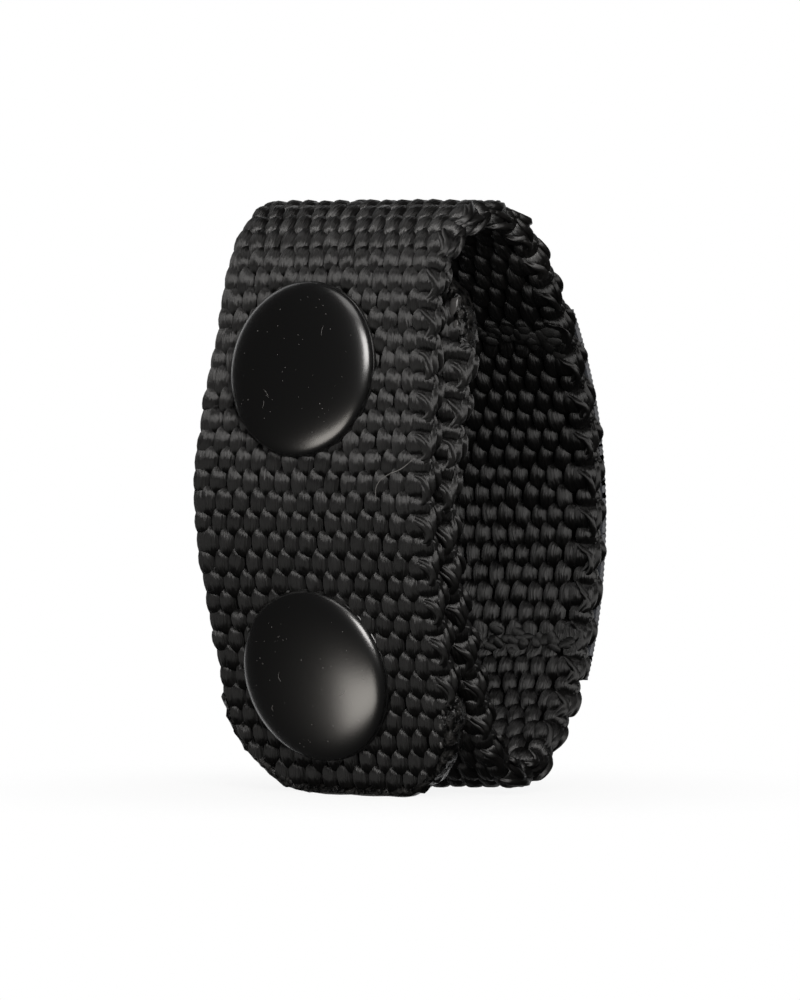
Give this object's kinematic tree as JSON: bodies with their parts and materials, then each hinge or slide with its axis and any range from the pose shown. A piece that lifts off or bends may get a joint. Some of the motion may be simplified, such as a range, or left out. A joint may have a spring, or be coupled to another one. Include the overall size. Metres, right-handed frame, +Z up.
{
  "type": "belt keeper",
  "caption": "Upright loop of heavy woven webbing for holding belts together; its overlapped ends close with domed press snaps and the outer flap folds open.",
  "frame": {"origin": "centre of the bounding box at the height that the loop stands on", "axes": "X across the webbing, along the belt that it holds; -Y the front, with the caps; +Z up"},
  "size_m": [0.0254, 0.0293, 0.0527],
  "materials": {
    "webbing": "coarse woven nylon, satin black",
    "label_cloth": "fine ribbed woven label, black",
    "thread": "bonded nylon thread, black",
    "cap_enamel": "satin black enamel on brass",
    "snap_metal": "black oxide on brass",
    "spring_wire": "bright spring wire"
  },
  "bodies": {
    "back": {"rear_wall": "webbing", "bottom_bend": "webbing", "label": "label_cloth", "label_top_stitching": "thread", "label_bottom_stitching": "thread"},
    "bend_rear": {"top_bend_rear": "webbing"},
    "bend_crown": {"top_bend_crown": "webbing"},
    "bend_front": {"top_bend_front": "webbing"},
    "upper_flap": {"outer_flap_upper": "webbing", "upper_snap_cap": "cap_enamel", "upper_snap_post": "snap_metal", "upper_snap_socket": "snap_metal", "upper_snap_spring": "spring_wire"},
    "lower_flap": {"outer_flap_lower": "webbing", "lower_snap_cap": "cap_enamel", "lower_snap_post": "snap_metal", "lower_snap_socket": "snap_metal", "lower_snap_spring": "spring_wire"},
    "inner": {"inner_flap": "webbing", "upper_snap_stud": "snap_metal", "upper_snap_eyelet": "snap_metal", "lower_snap_stud": "snap_metal", "lower_snap_eyelet": "snap_metal"}
  },
  "joints": [
    {"name": "flap_opening", "type": "hinge", "parent": "back", "child": "bend_rear", "pos_m": [0, 0.00856, 0.04312], "axis": [-1, 0, 0], "range_deg": [0, 32], "stiffness_Nm_per_rad": 0.01, "springref_deg": -8.59},
    {"name": "crown_flex", "type": "hinge", "parent": "bend_rear", "child": "bend_crown", "pos_m": [0, 0.00386, 0.04953], "axis": [-1, 0, 0], "range_deg": [0, 32], "stiffness_Nm_per_rad": 0.01, "springref_deg": -8.59},
    {"name": "front_flex", "type": "hinge", "parent": "bend_crown", "child": "bend_front", "pos_m": [0, -0.00579, 0.05201], "axis": [-1, 0, 0], "range_deg": [0, 32], "stiffness_Nm_per_rad": 0.01, "springref_deg": -8.59},
    {"name": "shoulder_flex", "type": "hinge", "parent": "bend_front", "child": "upper_flap", "pos_m": [0, -0.01072, 0.04624], "axis": [-1, 0, 0], "range_deg": [0, 32], "stiffness_Nm_per_rad": 0.01, "springref_deg": -8.59},
    {"name": "flap_tip_peel", "type": "hinge", "parent": "upper_flap", "child": "lower_flap", "pos_m": [0, -0.01386, 0.02572], "axis": [-1, 0, 0], "range_deg": [0, 50], "stiffness_Nm_per_rad": 0.008, "springref_deg": -8.59, "deforming": ["lower_snap_spring"]},
    {"name": "inner_flap_press", "type": "hinge", "parent": "back", "child": "inner", "pos_m": [0, -0.00001, 0.00274], "axis": [-1, 0, 0], "range_deg": [0, 7], "stiffness_Nm_per_rad": 0.02, "springref_deg": -8.59, "deforming": ["upper_snap_spring", "lower_snap_spring"]}
  ],
  "couplings": [
    {"joint": "crown_flex", "follows": "flap_opening", "ratio": 1},
    {"joint": "front_flex", "follows": "flap_opening", "ratio": 1},
    {"joint": "shoulder_flex", "follows": "flap_opening", "ratio": 1}
  ]
}
